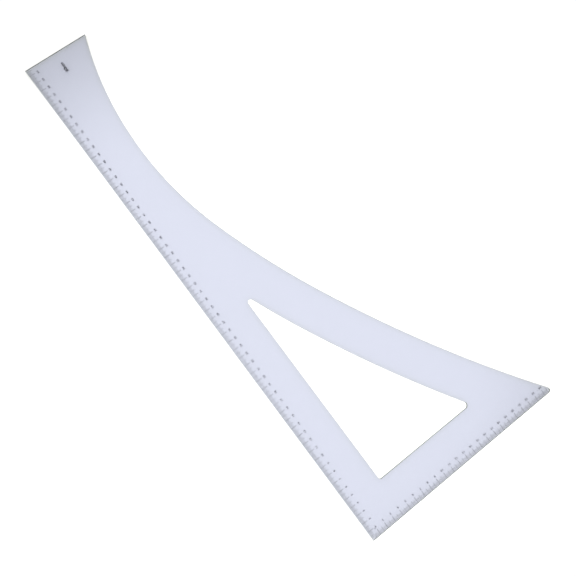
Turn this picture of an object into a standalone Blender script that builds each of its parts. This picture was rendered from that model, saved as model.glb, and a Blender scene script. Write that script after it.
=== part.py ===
"""French curve for pattern drafting: a clear acrylic square with a hip curve and two printed scales.

Run it with "blender --background --python part.py", or from Blender's text editor.
Metres, +Z up. Plan coordinates count from the zero corner: X along the short scale's edge,
Y along the long scale's edge, Z from the underside. The whole object hangs on one empty, which
moves it so that the origin is the middle of its bounding box, on the surface it lies on.
"""

import math
from collections import namedtuple

import bpy
from mathutils import Vector

# Sheet
THICKNESS = 0.0025
LONG_EDGE = 0.6077          # zero corner to the narrow end
SHORT_EDGE = 0.2513         # zero corner to where the hip curve would meet the short edge
END_WIDTH = 0.0745          # width of the square narrow end
TIP_RADIUS = 0.0030         # rounding of the tip
EDGE_EASE = 0.0002          # easing of every cut edge

# Hip curve, from its waist, where it runs parallel to the long edge
WAIST_WIDTH = 0.04855       # width of the sheet at the waist
WAIST_HEIGHT = 0.46726      # distance of the waist from the short edge
HIP_RADIUS = 0.3797         # arc that leaves the waist
HIP_TURN = math.radians(17.1)
THIGH_RADIUS = 0.8994       # flatter arc that follows it; a last arc then runs to the short edge
THIGH_TURN = math.radians(8.2)
CHORD_ERROR = 0.00002       # how far a facet may stray from its arc

# Window, with two sides parallel to the edges and one that follows the hip curve
WINDOW_FROM_LONG_EDGE = 0.0423
WINDOW_FROM_SHORT_EDGE = 0.0433
WINDOW_FROM_HIP = 0.0443
SQUARE_CORNER_RADIUS = 0.0025
SHORT_SIDE_CORNER_RADIUS = 0.0039
LONG_SIDE_CORNER_RADIUS = 0.0031
CORNER_STEP = math.radians(9)   # turn of one facet in a rounded corner

# Printed scales
CENTIMETRE = 0.01
SCALE_END_MARGIN = 0.006    # bare edge that a scale leaves past its last centimetre
LINE_START = 0.0004         # gap between the edge and the lines
LINE_WIDTH = 0.0002
CENTIMETRE_LINE = 0.007     # how far a line reaches in from the edge
HALF_LINE = 0.006
MITRE_GAP = 0.0007          # bare seam between the two scales where they meet near the zero corner
SPINE_WIDTH = 0.0001        # hairline that carries a scale's lines
INK_THICKNESS = 0.00003
INK_CLEARANCE = 0.00001     # between the sheet's face and the ink
INK_ENLARGED = 1000         # a scale's outline is drawn in millimetres, then scaled down
SWAP_X_AND_Y = (math.pi, 0, math.pi / 2)    # rotation that lays a scale along the long edge


def clear_scene():
    for thing in list(bpy.data.objects):
        bpy.data.objects.remove(thing)


def material(name, colour, roughness):
    made = bpy.data.materials.new(name)
    made.use_nodes = True
    shader = made.node_tree.nodes["Principled BSDF"]
    shader.inputs["Base Color"].default_value = (*colour, 1)
    shader.inputs["Roughness"].default_value = roughness
    shader.inputs["Metallic"].default_value = 0
    return made


def direction(angle):
    return Vector((math.cos(angle), math.sin(angle)))


def arc(centre, radius, start, end, step):
    """Points along an arc, its two ends included."""
    count = max(2, math.ceil(abs(end - start) / step))
    return [centre + radius * direction(start + (end - start) * i / count) for i in range(count + 1)]


def facet_angle(radius):
    """Turn of a facet whose middle strays CHORD_ERROR from an arc of this radius."""
    return 2 * math.acos(1 - CHORD_ERROR / abs(radius))


Arc = namedtuple("Arc", "run centre radius heading")    # run and heading are those at its start


class HipCurve:
    """Tangent arcs from the waist to the short edge, followed by the run, the distance along them.

    A heading is the angle that the curve has turned from the long edge's direction. The centres of
    the arcs lie outside the sheet, so a copy of the curve inside the sheet has larger radii.
    """

    def __init__(self):
        self.arcs = []
        self.length = 0.0
        self.end = Vector((WAIST_WIDTH, WAIST_HEIGHT))
        self.heading = 0.0
        self.add(HIP_RADIUS, HIP_TURN)
        self.add(THIGH_RADIUS, THIGH_TURN)
        chord = Vector((SHORT_EDGE, 0)) - self.end
        side = direction(self.heading)
        last_radius = chord.length_squared / (2 * chord.dot(side))
        last_turn = 2 * math.asin(chord.length / (2 * last_radius))
        self.add(last_radius, last_turn)

    def add(self, radius, turn):
        centre = self.end + radius * direction(self.heading)
        self.arcs.append(Arc(self.length, centre, radius, self.heading))
        self.length += radius * turn
        self.heading += turn
        self.end = centre - radius * direction(self.heading)

    def at(self, run, inset=0.0):
        """The point at a run along the curve, moved into the sheet by inset, and its heading."""
        here = [each for each in self.arcs if each.run <= run][-1]
        heading = here.heading + (run - here.run) / here.radius
        return here.centre - (here.radius + inset) * direction(heading), heading

    def run_to(self, axis, value, inset):
        """The run at which the curve, moved in by inset, reaches this x (axis 0) or y (axis 1)."""
        low, high = 0.0, self.length
        rising = self.at(high, inset)[0][axis] > self.at(low, inset)[0][axis]
        for _ in range(60):
            middle = (low + high) / 2
            if (self.at(middle, inset)[0][axis] < value) == rising:
                low = middle
            else:
                high = middle
        return low

    def points(self, first, last, inset=0.0):
        """Points from one run to another, close enough together to follow every arc."""
        stops = [first] + [each.run for each in self.arcs if first < each.run < last] + [last]
        found = []
        for low, high in zip(stops, stops[1:]):
            radius = [each.radius for each in self.arcs if each.run <= low][-1]
            count = math.ceil((high - low) / (abs(radius) * facet_angle(radius)))
            found += [self.at(low + (high - low) * i / count, inset)[0] for i in range(count)]
        return found + [self.at(last, inset)[0]]


def end_arc():
    """Points of the arc from the waist up to the narrow end, from that end downwards."""
    across = END_WIDTH - WAIST_WIDTH
    along = LONG_EDGE - WAIST_HEIGHT
    radius = (across ** 2 + along ** 2) / (2 * across)
    turn = math.atan2(along, radius - across)
    centre = Vector((WAIST_WIDTH + radius, WAIST_HEIGHT))
    return arc(centre, radius, math.pi - turn, math.pi, facet_angle(radius))


def sheet_outline(hip):
    tip_run = hip.run_to(1, TIP_RADIUS, TIP_RADIUS)
    centre, heading = hip.at(tip_run, TIP_RADIUS)
    tip = arc(centre, TIP_RADIUS, heading, -math.pi / 2, CORNER_STEP)
    curve = end_arc()[:-1] + hip.points(0.0, tip_run)[:-1]
    return [Vector((0, 0)), Vector((0, LONG_EDGE))] + curve + tip


def window_outline(hip):
    left, low = WINDOW_FROM_LONG_EDGE, WINDOW_FROM_SHORT_EDGE

    square = SQUARE_CORNER_RADIUS
    points = arc(Vector((left + square, low + square)), square, math.pi, 1.5 * math.pi, CORNER_STEP)

    small = SHORT_SIDE_CORNER_RADIUS
    inset = WINDOW_FROM_HIP + small
    short_run = hip.run_to(1, low + small, inset)
    centre, heading = hip.at(short_run, inset)
    points += arc(centre, small, -math.pi / 2, heading, CORNER_STEP)

    small = LONG_SIDE_CORNER_RADIUS
    inset = WINDOW_FROM_HIP + small
    long_run = hip.run_to(0, left + small, inset)
    centre, heading = hip.at(long_run, inset)
    points += hip.points(long_run, short_run, WINDOW_FROM_HIP)[-2:0:-1]
    points += arc(centre, small, heading, math.pi, CORNER_STEP)
    return points


def flat_solid(name, outlines, thickness, bottom, finish, group, parent, enlarged=1):
    """A plate of this thickness with these outlines, the second and later ones being its holes.

    A curve's fill merges points that lie too close, so a fine outline is drawn enlarged, and the
    object's scale brings it back to size.
    """
    plan = bpy.data.curves.new(name, "CURVE")
    plan.dimensions = "2D"
    plan.fill_mode = "BOTH"
    plan.extrude = thickness / 2 * enlarged
    plan.materials.append(finish)
    for outline in outlines:
        spline = plan.splines.new("POLY")
        spline.points.add(len(outline) - 1)
        for knot, point in zip(spline.points, outline):
            knot.co = (point.x * enlarged, point.y * enlarged, 0, 1)
        spline.use_cyclic_u = True
    plate = bpy.data.objects.new(name, plan)
    plate.location.z = bottom + thickness / 2
    plate.scale = [1 / enlarged] * 3
    plate.parent = parent
    group.objects.link(plate)
    return plate


def ease_edges(plate):
    weld = plate.modifiers.new("Weld caps", "WELD")
    weld.merge_threshold = 0.00001
    bevel = plate.modifiers.new("Eased edges", "BEVEL")
    bevel.width = EDGE_EASE
    bevel.segments = 2
    bevel.limit_method = "ANGLE"
    bevel.angle_limit = math.radians(60)


def scale_outline(edge_length):
    """A comb of centimetre and half-centimetre lines on a hairline, X along the edge, Y inland."""
    count = 2 * math.floor((edge_length - SCALE_END_MARGIN) / CENTIMETRE)
    half = LINE_WIDTH / 2
    spine = LINE_START + SPINE_WIDTH
    positions = [CENTIMETRE / 2 * (i + 1) for i in range(count)]
    comb = [Vector((positions[-1] + half, LINE_START)), Vector((positions[0] - half, LINE_START))]
    for i, place in enumerate(positions):
        reach = CENTIMETRE_LINE if i % 2 else HALF_LINE
        reach = min(reach, place - MITRE_GAP)
        if i:
            comb.append(Vector((place - half, spine)))
        comb.append(Vector((place - half, reach)))
        comb.append(Vector((place + half, reach)))
        if i < count - 1:
            comb.append(Vector((place + half, spine)))
    return comb


def build():
    clear_scene()
    group = bpy.data.collections.new("french_curve")
    bpy.context.scene.collection.children.link(group)
    acrylic = material("clear_acrylic", (0.74, 0.76, 0.87), 0.08)
    long_ink = material("long_scale_ink", (0.035, 0.037, 0.05), 0.55)
    short_ink = material("short_scale_ink", (0.035, 0.037, 0.05), 0.55)

    hip = HipCurve()
    outline = sheet_outline(hip)
    width = max(point.x for point in outline)
    carrier = bpy.data.objects.new("french_curve_origin", None)
    carrier.location = (-width / 2, -LONG_EDGE / 2, 0)
    group.objects.link(carrier)

    blade = flat_solid("blade", [outline, window_outline(hip)], THICKNESS, 0, acrylic, group, carrier)
    ease_edges(blade)

    ink_bottom = THICKNESS + INK_CLEARANCE
    for name, edge_length, ink, turned in (
        ("short_scale_graduations", width, short_ink, (0, 0, 0)),
        ("long_scale_graduations", LONG_EDGE, long_ink, SWAP_X_AND_Y),
    ):
        comb = scale_outline(edge_length)
        scale = flat_solid(name, [comb], INK_THICKNESS, ink_bottom, ink, group, carrier, INK_ENLARGED)
        scale.rotation_euler = turned


build()
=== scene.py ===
"""Looks of the acrylic french curve: the clear sheet, its printed scales, the table and the light.

Metres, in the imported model's frame. Plan places count from the sheet's zero corner: X along the
short scale's edge, Y along the long scale's edge.
"""

import math

import bmesh
import bpy
from mathutils import Euler, Matrix, Vector


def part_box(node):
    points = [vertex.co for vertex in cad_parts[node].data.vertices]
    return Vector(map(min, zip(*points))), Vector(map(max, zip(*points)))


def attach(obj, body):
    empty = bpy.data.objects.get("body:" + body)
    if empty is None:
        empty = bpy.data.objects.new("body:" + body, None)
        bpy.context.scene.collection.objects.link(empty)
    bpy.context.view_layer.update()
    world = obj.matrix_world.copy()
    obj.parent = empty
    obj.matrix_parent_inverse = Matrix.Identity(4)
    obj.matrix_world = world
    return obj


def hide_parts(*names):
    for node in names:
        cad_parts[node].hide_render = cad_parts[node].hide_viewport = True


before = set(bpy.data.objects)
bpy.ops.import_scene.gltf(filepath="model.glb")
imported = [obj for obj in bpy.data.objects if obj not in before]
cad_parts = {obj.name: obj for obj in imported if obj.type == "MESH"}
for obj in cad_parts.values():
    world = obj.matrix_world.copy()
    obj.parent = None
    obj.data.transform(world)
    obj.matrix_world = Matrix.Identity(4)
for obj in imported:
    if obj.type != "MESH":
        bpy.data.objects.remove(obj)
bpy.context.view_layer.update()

# What the frame gives
CORNER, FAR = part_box("blade")
PRINTED_CORNER = Vector((CORNER.x, CORNER.y, FAR.z))    # the zero corner on the printed face
INK_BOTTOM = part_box("long_scale_graduations")[0].z
INK_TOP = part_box("long_scale_graduations")[1].z
EAST = Vector((1, 0, 0))                        # along the short scale
NORTH = Vector((0, 1, 0))                       # along the long scale

# Scales
MILLIMETRE = 0.001
CENTIMETRE = 0.01
LONG_SCALE_CM = round((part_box("long_scale_graduations")[1].y - CORNER.y) / CENTIMETRE)
SHORT_SCALE_CM = round((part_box("short_scale_graduations")[1].x - CORNER.x) / CENTIMETRE)
OVERRUN_MM = 5                                  # millimetre lines past the last centimetre
LINE_START = 0.0007                             # bare strip between the edge and the lines
MILLIMETRE_LINE = (0.0045, 0.00013)             # reach from the edge, and width
HALF_LINE = (0.0060, 0.00022)
CENTIMETRE_LINE = (0.0070, 0.00032)
MITRE_GAP = 0.0007                              # bare seam between the two scales at the corner
NUMERAL_HEIGHT = 0.0021
NUMERAL_STRETCH = 1.15                          # width of the digits against the font's own
NUMERAL_BOLD = 0.00003                          # added all round a stroke
NUMERAL_SHIFT = 0.0003                          # numerals sit this far to the left of their line
LONG_NUMERALS_IN = 0.0103                       # middle of the numerals from the edge
SHORT_NUMERALS_IN = 0.0100
ZERO_HEIGHT = 0.0013
ZERO_PLACE = Vector((0.0088, 0.0088))
MARK_HEIGHT = 0.0032
MARK_BOLD = 0.00020
MARK_PLACE = Vector((0.0358, 0.5890))
FONT_DIGIT_HEIGHT = 0.70                        # of the built-in font at size 1
FONT_CURVE_STEPS = 3
WELD_DISTANCE = 0.000002                        # joins the letters' points that coincide
READS_UP_THE_EDGE = math.pi / 2                 # turns of a line of text in the plan
READS_TO_THE_CORNER = math.pi

# Sheet
ACRYLIC_IOR = 1.49
FLAT_FACE = 0.99                                # a face whose normal is this upright is not rim
SMOOTH_UP_TO = math.radians(15)
ACRYLIC_LIGHT_TINT = (0.79, 0.80, 0.835)        # of light that crosses a face on its way to the table
RIM_LIGHT_TINT = (0.40, 0.43, 0.28)

# Camera, from the zero corner on the printed face
CAMERA_PLACE = Vector((-0.01102, 0.23429, 0.61901))
CAMERA_TURN = Euler([math.radians(a) for a in (7.1095, -5.7751, -37.0607)])
LENS_MM = 37.16
SENSOR_MM = 36.0
NEAREST_SEEN = 0.01

# Table and light
TABLE_HALF_SIZE = 6.0
TABLE_COLOUR = (0.92, 0.92, 0.92)
TABLE_ROUGHNESS = 0.9
TABLE_GAP = 0.0003                              # between the table and the sheet's underside
DOME_STRENGTH = 1.12
LAMP_PLACE = Vector((0.050, 0.249, 1.5))        # from the zero corner on the printed face
LAMP_POWER = 70.0
LAMP_RADIUS = 0.04
LAMP_BEAM = math.radians(30.0)
LAMP_FADE = 0.69                                # share of the beam over which it fades to its rim


# --- materials -----------------------------------------------------------------------------

class Nodes:
    """A small helper that adds nodes to one material and links them."""

    def __init__(self, name):
        self.material = bpy.data.materials.new(name)
        self.material.use_nodes = True
        self.tree = self.material.node_tree
        self.shader = self.tree.nodes["Principled BSDF"]
        self.output = self.tree.nodes["Material Output"]
        self.place = self.add("ShaderNodeTexCoord").outputs["Object"]

    def add(self, kind, **settings):
        node = self.tree.nodes.new(kind)
        for name, value in settings.items():
            setattr(node, name, value)
        return node

    def link(self, source, target):
        self.tree.links.new(source, target)

    def stretched(self, scale, turn=0.0):
        mapping = self.add("ShaderNodeMapping")
        mapping.inputs["Scale"].default_value = scale
        mapping.inputs["Rotation"].default_value = (0, 0, turn)
        self.link(self.place, mapping.inputs["Vector"])
        return mapping.outputs["Vector"]

    def noise(self, vector, scale, detail=2.0, roughness=0.5):
        node = self.add("ShaderNodeTexNoise")
        node.inputs["Scale"].default_value = scale
        node.inputs["Detail"].default_value = detail
        node.inputs["Roughness"].default_value = roughness
        self.link(vector, node.inputs["Vector"])
        return node.outputs["Fac"]

    def ranged(self, value, low, high, new_low, new_high):
        node = self.add("ShaderNodeMapRange")
        node.inputs["From Min"].default_value = low
        node.inputs["From Max"].default_value = high
        node.inputs["To Min"].default_value = new_low
        node.inputs["To Max"].default_value = new_high
        self.link(value, node.inputs["Value"])
        return node.outputs["Result"]

    def combined(self, operation, first, second):
        node = self.add("ShaderNodeMath", operation=operation)
        self.link(first, node.inputs[0])
        self.link(second, node.inputs[1])
        return node.outputs[0]

    def colour_between(self, first, second, value):
        """Sets the base colour: from first to second as value goes from 0 to 1."""
        node = self.add("ShaderNodeMix", data_type="RGBA")
        node.inputs["A"].default_value = (*first, 1)
        node.inputs["B"].default_value = (*second, 1)
        self.link(value, node.inputs["Factor"])
        self.link(node.outputs["Result"], self.shader.inputs["Base Color"])

    def bump(self, height, distance, normal=None):
        node = self.add("ShaderNodeBump")
        node.inputs["Distance"].default_value = distance
        node.inputs["Strength"].default_value = 1.0
        self.link(height, node.inputs["Height"])
        if normal:
            self.link(normal, node.inputs["Normal"])
        return node.outputs["Normal"]

    def let_light_through(self, tint):
        """Light on its way to what lies under the sheet goes straight through, and takes this tint."""
        straight = self.add("ShaderNodeBsdfTransparent")
        straight.inputs["Color"].default_value = (*tint, 1)
        path = self.add("ShaderNodeLightPath")
        seen = self.shader.outputs["BSDF"]
        for ray in ("Is Shadow Ray", "Is Diffuse Ray"):
            mix = self.add("ShaderNodeMixShader")
            self.link(path.outputs[ray], mix.inputs["Fac"])
            self.link(seen, mix.inputs[1])
            self.link(straight.outputs["BSDF"], mix.inputs[2])
            seen = mix.outputs["Shader"]
        self.link(seen, self.output.inputs["Surface"])


def scratches(nodes, turn, scale):
    """Thin straight handling scratches that run one way: 1 on a scratch, 0 beside it."""
    streaks = nodes.noise(nodes.stretched((6, 900, 1), turn), scale, 1.0)
    patches = nodes.noise(nodes.stretched((1, 1, 1), turn), 9 * scale, 2.0)
    thin = nodes.ranged(streaks, 0.70, 0.76, 0.0, 1.0)
    where = nodes.ranged(patches, 0.52, 0.62, 0.0, 1.0)
    return nodes.combined("MULTIPLY", thin, where)


def acrylic():
    nodes = Nodes("clear_acrylic")
    shader = nodes.shader
    shader.inputs["Transmission Weight"].default_value = 1.0
    shader.inputs["IOR"].default_value = ACRYLIC_IOR
    tint = nodes.noise(nodes.place, 7.0, 2.0)
    nodes.colour_between((0.671, 0.680, 0.734), (0.685, 0.694, 0.749), tint)
    marks = nodes.combined("MAXIMUM", scratches(nodes, 0.5, 1.0), scratches(nodes, 2.2, 1.3))
    haze = nodes.ranged(nodes.noise(nodes.place, 26.0, 4.0), 0.3, 0.7, 0.02, 0.05)
    worn = nodes.ranged(marks, 0.0, 1.0, 0.0, 0.12)
    nodes.link(nodes.combined("ADD", haze, worn), shader.inputs["Roughness"])
    wave = nodes.bump(nodes.noise(nodes.place, 14.0, 1.0), 0.00004)
    nodes.link(nodes.bump(marks, -0.000004, wave), shader.inputs["Normal"])
    nodes.let_light_through(ACRYLIC_LIGHT_TINT)
    return nodes.material


def cut_edge():
    """The machined rim, with fine upright cutter marks. Its dark grey-green colour is painted shade:
    it stands in for the dark line that refraction at the clear cut edge shows.
    """
    nodes = Nodes("acrylic_rim_painted_shade")
    shader = nodes.shader
    shader.inputs["IOR"].default_value = ACRYLIC_IOR
    grain = nodes.noise(nodes.stretched((1, 1, 0.04)), 2600.0, 2.0)
    # Painted shade: a dark grey-green base colour in place of the darkness that refraction gives the
    # clear cut edge; the grain varies it a little
    nodes.colour_between((0.110, 0.125, 0.105), (0.170, 0.190, 0.165), grain)
    nodes.link(nodes.ranged(grain, 0.3, 0.7, 0.28, 0.5), shader.inputs["Roughness"])
    shader.inputs["Specular IOR Level"].default_value = 0.1
    nodes.link(nodes.bump(grain, 0.00002), shader.inputs["Normal"])
    nodes.let_light_through(RIM_LIGHT_TINT)
    return nodes.material


def ink(name):
    """Screen-printed ink: near black, a little thin in places, with a dry surface."""
    nodes = Nodes(name)
    shader = nodes.shader
    body = nodes.noise(nodes.place, 900.0, 3.0)
    nodes.colour_between((0.020, 0.021, 0.030), (0.060, 0.062, 0.080), body)
    nodes.link(nodes.ranged(body, 0.3, 0.7, 0.45, 0.62), shader.inputs["Roughness"])
    nodes.link(nodes.bump(nodes.noise(nodes.place, 3500.0, 2.0), 0.000003), shader.inputs["Normal"])
    return nodes.material


def plain(name, colour, roughness):
    made = bpy.data.materials.new(name)
    made.use_nodes = True
    shader = made.node_tree.nodes["Principled BSDF"]
    shader.inputs["Base Color"].default_value = (*colour, 1)
    shader.inputs["Roughness"].default_value = roughness
    return made


# --- pieces --------------------------------------------------------------------------------

def piece(name, mesh, replaced=()):
    made = bpy.data.objects.new(name, mesh)
    bpy.context.scene.collection.objects.link(made)
    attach(made, "root")
    if replaced:
        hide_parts(*replaced)
    return made


def sheet():
    """The sheet with clear faces and a rim coloured in painted shade."""
    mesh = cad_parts["blade"].data.copy()
    mesh.name = "acrylic_sheet"
    mesh.materials.clear()
    mesh.materials.append(acrylic())
    mesh.materials.append(cut_edge())
    for face in mesh.polygons:
        face.material_index = 0 if abs(face.normal.z) > FLAT_FACE else 1
    mesh.shade_smooth()
    mesh.set_sharp_from_angle(angle=SMOOTH_UP_TO)
    return piece("acrylic_sheet", mesh, ["blade"])


def add_box(mesh, low, high):
    middle = (low + high) / 2
    size = high - low
    place = Matrix.Translation(middle) @ Matrix.Diagonal((*size, 1))
    bmesh.ops.create_cube(mesh, size=1.0, matrix=place)


def line_of(millimetre):
    if millimetre % 10 == 0:
        return CENTIMETRE_LINE
    return HALF_LINE if millimetre % 5 == 0 else MILLIMETRE_LINE


def scale_lines(name, centimetres, along, inland, ink_material, replaced):
    """One printed line for each millimetre. along and inland are the edge's directions."""
    mesh = bmesh.new()
    for millimetre in range(1, 10 * centimetres + OVERRUN_MM + 1):
        reach, width = line_of(millimetre)
        place = millimetre * MILLIMETRE
        reach = min(reach, place - MITRE_GAP)
        if reach <= LINE_START:
            continue
        first = CORNER + along * (place - width / 2) + inland * LINE_START
        last = CORNER + along * (place + width / 2) + inland * reach
        add_box(mesh, Vector((first.x, first.y, INK_BOTTOM)), Vector((last.x, last.y, INK_TOP)))
    data = bpy.data.meshes.new(name)
    mesh.to_mesh(data)
    mesh.free()
    data.materials.append(ink_material)
    return piece(name, data, [replaced])


def printed_text(target, text, height, place, turn, shift=0.0, bold=0.0):
    """Adds raised ink text to a bmesh, centred on a plan place, and turned in the plan."""
    curve = bpy.data.curves.new("text", "FONT")
    curve.body = text
    curve.size = height / FONT_DIGIT_HEIGHT
    curve.align_x = "CENTER"
    curve.resolution_u = FONT_CURVE_STEPS
    curve.offset = bold
    curve.extrude = (INK_TOP - INK_BOTTOM) / 2
    holder = bpy.data.objects.new("text", curve)
    bpy.context.scene.collection.objects.link(holder)
    bpy.context.view_layer.update()
    evaluated = holder.evaluated_get(bpy.context.evaluated_depsgraph_get())
    mesh = bpy.data.meshes.new_from_object(evaluated)
    bpy.data.objects.remove(holder)
    bpy.data.curves.remove(curve)
    middle = Vector((CORNER.x + place.x, CORNER.y + place.y, (INK_TOP + INK_BOTTOM) / 2))
    mesh.transform(
        Matrix.Translation(middle)
        @ Matrix.Rotation(turn, 4, "Z")
        @ Matrix.Translation((-shift, -height / 2, 0))
        @ Matrix.Diagonal((NUMERAL_STRETCH, 1, 1, 1))
    )
    target.from_mesh(mesh)
    bpy.data.meshes.remove(mesh)


def text_piece(name, build, ink_material):
    mesh = bmesh.new()
    build(mesh)
    bmesh.ops.remove_doubles(mesh, verts=mesh.verts, dist=WELD_DISTANCE)
    data = bpy.data.meshes.new(name)
    mesh.to_mesh(data)
    mesh.free()
    data.materials.append(ink_material)
    return piece(name, data)


def numeral(mesh, number, place, turn):
    printed_text(mesh, str(number), NUMERAL_HEIGHT, place, turn, NUMERAL_SHIFT, NUMERAL_BOLD)


def long_numerals(mesh):
    for centimetre in range(1, LONG_SCALE_CM + 1):
        place = Vector((LONG_NUMERALS_IN, centimetre * CENTIMETRE))
        numeral(mesh, centimetre, place, READS_UP_THE_EDGE)


def short_numerals(mesh):
    for centimetre in range(1, SHORT_SCALE_CM + 1):
        place = Vector((centimetre * CENTIMETRE, SHORT_NUMERALS_IN))
        numeral(mesh, centimetre, place, READS_TO_THE_CORNER)


def other_print(mesh):
    printed_text(mesh, "0", ZERO_HEIGHT, ZERO_PLACE, READS_UP_THE_EDGE)
    printed_text(mesh, "60cm", MARK_HEIGHT, MARK_PLACE, READS_UP_THE_EDGE, bold=MARK_BOLD)


# --- stage ---------------------------------------------------------------------------------

def floor():
    mesh = bpy.data.meshes.new("table")
    shape = bmesh.new()
    bmesh.ops.create_grid(shape, x_segments=1, y_segments=1, size=TABLE_HALF_SIZE)
    shape.to_mesh(mesh)
    shape.free()
    mesh.materials.append(plain("pale_table", TABLE_COLOUR, TABLE_ROUGHNESS))
    table = bpy.data.objects.new("table", mesh)
    table.location.z = CORNER.z - TABLE_GAP
    bpy.context.scene.collection.objects.link(table)


def light():
    """A pale dome all round, and a lamp overhead whose pool of light fades towards the narrow end."""
    world = bpy.data.worlds.new("studio")
    bpy.context.scene.world = world
    world.use_nodes = True
    dome = world.node_tree.nodes["Background"]
    dome.inputs["Color"].default_value = (1, 1, 1, 1)
    dome.inputs["Strength"].default_value = DOME_STRENGTH
    data = bpy.data.lights.new("overhead_lamp", "SPOT")
    data.energy = LAMP_POWER
    data.shadow_soft_size = LAMP_RADIUS
    data.spot_size = LAMP_BEAM
    data.spot_blend = LAMP_FADE
    lamp = bpy.data.objects.new("overhead_lamp", data)
    lamp.location = PRINTED_CORNER + LAMP_PLACE
    lamp.visible_glossy = False                 # the sheet mirrors only the dome
    lamp.visible_transmission = False
    bpy.context.scene.collection.objects.link(lamp)


def camera():
    data = bpy.data.cameras.new("camera")
    data.lens = LENS_MM
    data.sensor_width = SENSOR_MM
    data.clip_start = NEAREST_SEEN
    made = bpy.data.objects.new("camera", data)
    made.location = PRINTED_CORNER + CAMERA_PLACE
    made.rotation_euler = CAMERA_TURN
    bpy.context.scene.collection.objects.link(made)
    bpy.context.scene.camera = made


camera()
floor()
light()
bpy.context.scene.view_settings.view_transform = "Standard"

sheet()
long_ink = ink("long_scale_ink")
short_ink = ink("short_scale_ink")
scale_lines(
    "long_scale_lines", LONG_SCALE_CM, NORTH, EAST,
    long_ink, "long_scale_graduations",
)
scale_lines(
    "short_scale_lines", SHORT_SCALE_CM, EAST, NORTH,
    short_ink, "short_scale_graduations",
)
text_piece("long_scale_numerals", long_numerals, long_ink)
text_piece("short_scale_numerals", short_numerals, short_ink)
text_piece("zero_and_unit", other_print, long_ink)
